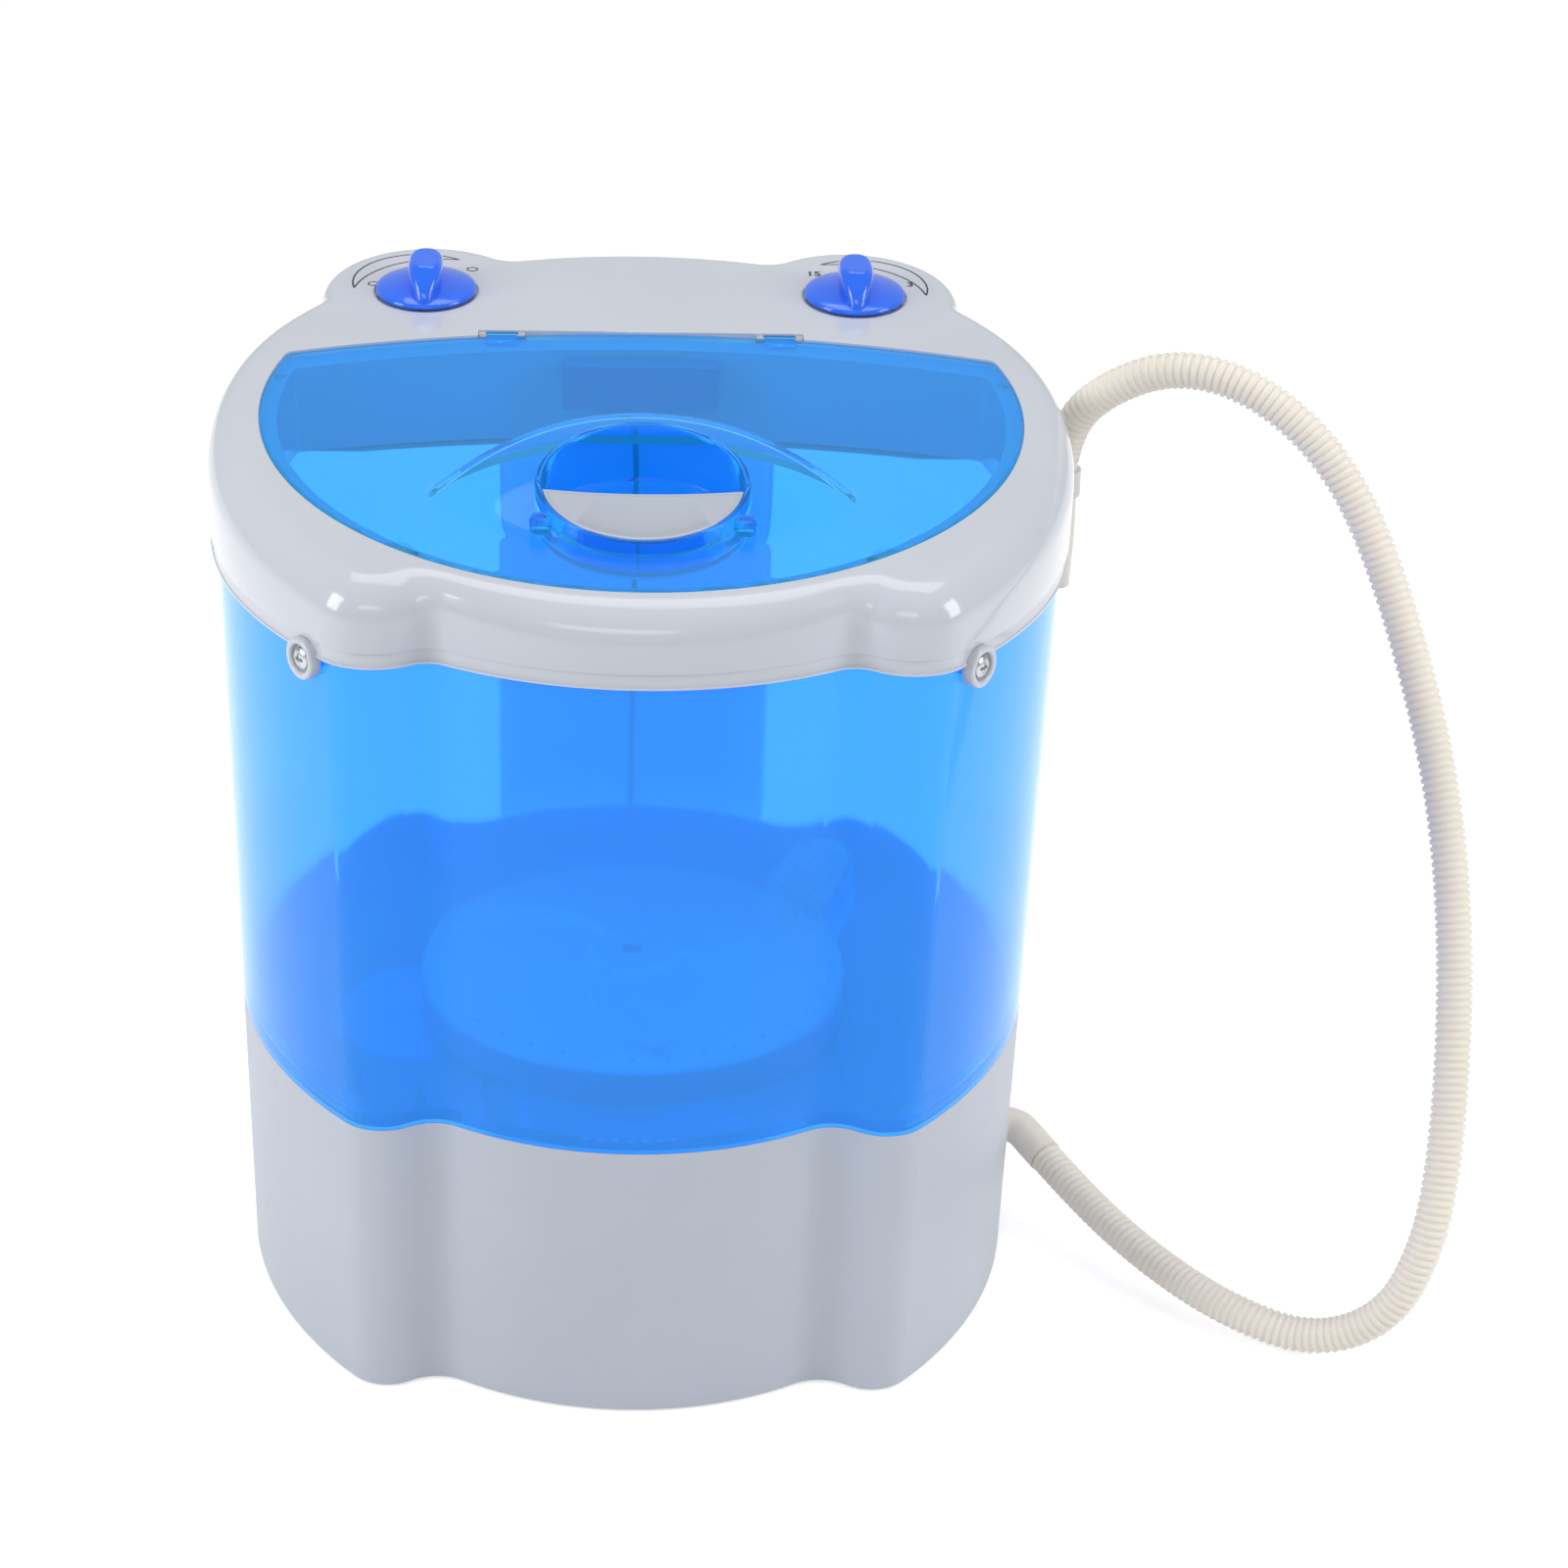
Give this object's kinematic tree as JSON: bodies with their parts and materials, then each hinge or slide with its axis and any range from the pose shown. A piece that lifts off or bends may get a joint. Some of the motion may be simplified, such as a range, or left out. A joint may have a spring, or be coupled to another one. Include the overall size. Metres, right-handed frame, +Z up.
{
  "type": "mini washing machine",
  "caption": "Small top-loading washing machine: translucent tub on a motor base, hinged lid with finger cup, two turn knobs, a spinning pulsator and a corrugated drain hose.",
  "frame": {"origin": "on the floor under the middle of the machine without its hose, at the underside of the rubber feet", "axes": "+X to the machine's right as seen from the front, +Y to the back, +Z up"},
  "size_m": [0.5517, 0.35, 0.4333],
  "materials": {
    "collar_grey": "gloss",
    "base_grey": "satin",
    "hidden_grey": "satin",
    "tub_blue": "translucent gloss",
    "lid_blue": "translucent gloss",
    "cup_blue": "translucent gloss",
    "knob_blue": "gloss",
    "grip_grey": "gloss",
    "pulsator_blue": "satin",
    "chute_blue": "gloss",
    "white_plastic": "satin",
    "hose_white": "satin",
    "black_plastic": "satin",
    "black_rubber": "matt",
    "grey_rubber": "matt",
    "steel": "bright",
    "bronze": "satin",
    "motor_can": "satin",
    "core_iron": "matt",
    "copper_winding": "varnished"
  },
  "bodies": {
    "machine_body": {"base_housing": "base_grey", "tub": "tub_blue", "tub_gasket": "grey_rubber", "top_collar": "collar_grey", "collar_underplate": "hidden_grey", "collar_screws": "steel", "lid_hinge_brackets": "hidden_grey", "lid_hinge_pins": "steel", "lid_bumpers": "grey_rubber", "inlet_valve_body": "white_plastic", "water_inlet_spigot": "white_plastic", "inlet_pipe": "white_plastic", "water_chute": "chute_blue", "timer_body": "black_plastic", "control_screws": "steel", "bearing_housing": "hidden_grey", "bearing_gasket": "grey_rubber", "shaft_seal": "black_rubber", "upper_bush": "bronze", "lower_bush": "bronze", "bearing_screws": "steel", "drive_belt": "black_rubber", "motor_stator": "copper_winding", "motor_housing": "motor_can", "motor_bracket": "steel", "bracket_screws": "steel", "motor_bolts": "steel", "motor_grommets": "black_rubber", "bottom_plate": "hidden_grey", "rubber_feet": "black_rubber", "bottom_plate_screws": "steel", "run_capacitor": "white_plastic", "capacitor_clip": "steel", "terminal_block": "white_plastic", "drain_cover": "pulsator_blue", "drain_pipe": "grey_rubber", "drain_outlet": "white_plastic", "hose_cuff": "hose_white", "drain_hose": "hose_white", "hose_nozzle": "hose_white", "hose_hook": "white_plastic", "rear_duct_cover": "base_grey", "duct_screws": "steel", "wire_harness": "black_plastic", "mains_gland": "black_plastic"},
    "lid": {"lid": "lid_blue", "lid_handle_cup": "cup_blue", "lid_handle_plate": "grip_grey"},
    "inlet_knob": {"water_inlet_knob": "knob_blue", "inlet_valve_stem": "white_plastic"},
    "timer_knob": {"wash_timer_knob": "knob_blue", "timer_shaft": "white_plastic"},
    "pulsator_drive": {"pulsator": "pulsator_blue", "pulsator_screw": "steel", "drive_shaft": "steel", "driven_pulley": "white_plastic", "pulley_nut": "steel"},
    "motor_drive": {"motor_shaft": "steel", "motor_rotor": "core_iron", "motor_pulley": "motor_can"}
  },
  "joints": [
    {"name": "lid_hinge", "type": "hinge", "parent": "machine_body", "child": "lid", "pos_m": [0, 0.07777, 0.40757], "axis": [-1, 0, 0], "range_deg": [0, 100]},
    {"name": "inlet_knob_turn", "type": "hinge", "parent": "machine_body", "child": "inlet_knob", "pos_m": [-0.098, 0.12163, 0.41765], "axis": [0, -0.1097, 0.994], "range_deg": [-45, 45]},
    {"name": "timer_knob_turn", "type": "hinge", "parent": "machine_body", "child": "timer_knob", "pos_m": [0.098, 0.12163, 0.41765], "axis": [0, -0.1097, 0.994], "range_deg": [-300, 0]},
    {"name": "pulsator_spin", "type": "hinge", "parent": "machine_body", "child": "pulsator_drive", "pos_m": [0, 0, 0.08], "axis": [0, 0, 1], "continuous": true},
    {"name": "motor_spin", "type": "hinge", "parent": "machine_body", "child": "motor_drive", "pos_m": [-0.097, 0, 0.07], "axis": [0, 0, 1], "continuous": true}
  ],
  "couplings": [
    {"joint": "motor_spin", "follows": "pulsator_spin", "ratio": 4.2308}
  ]
}
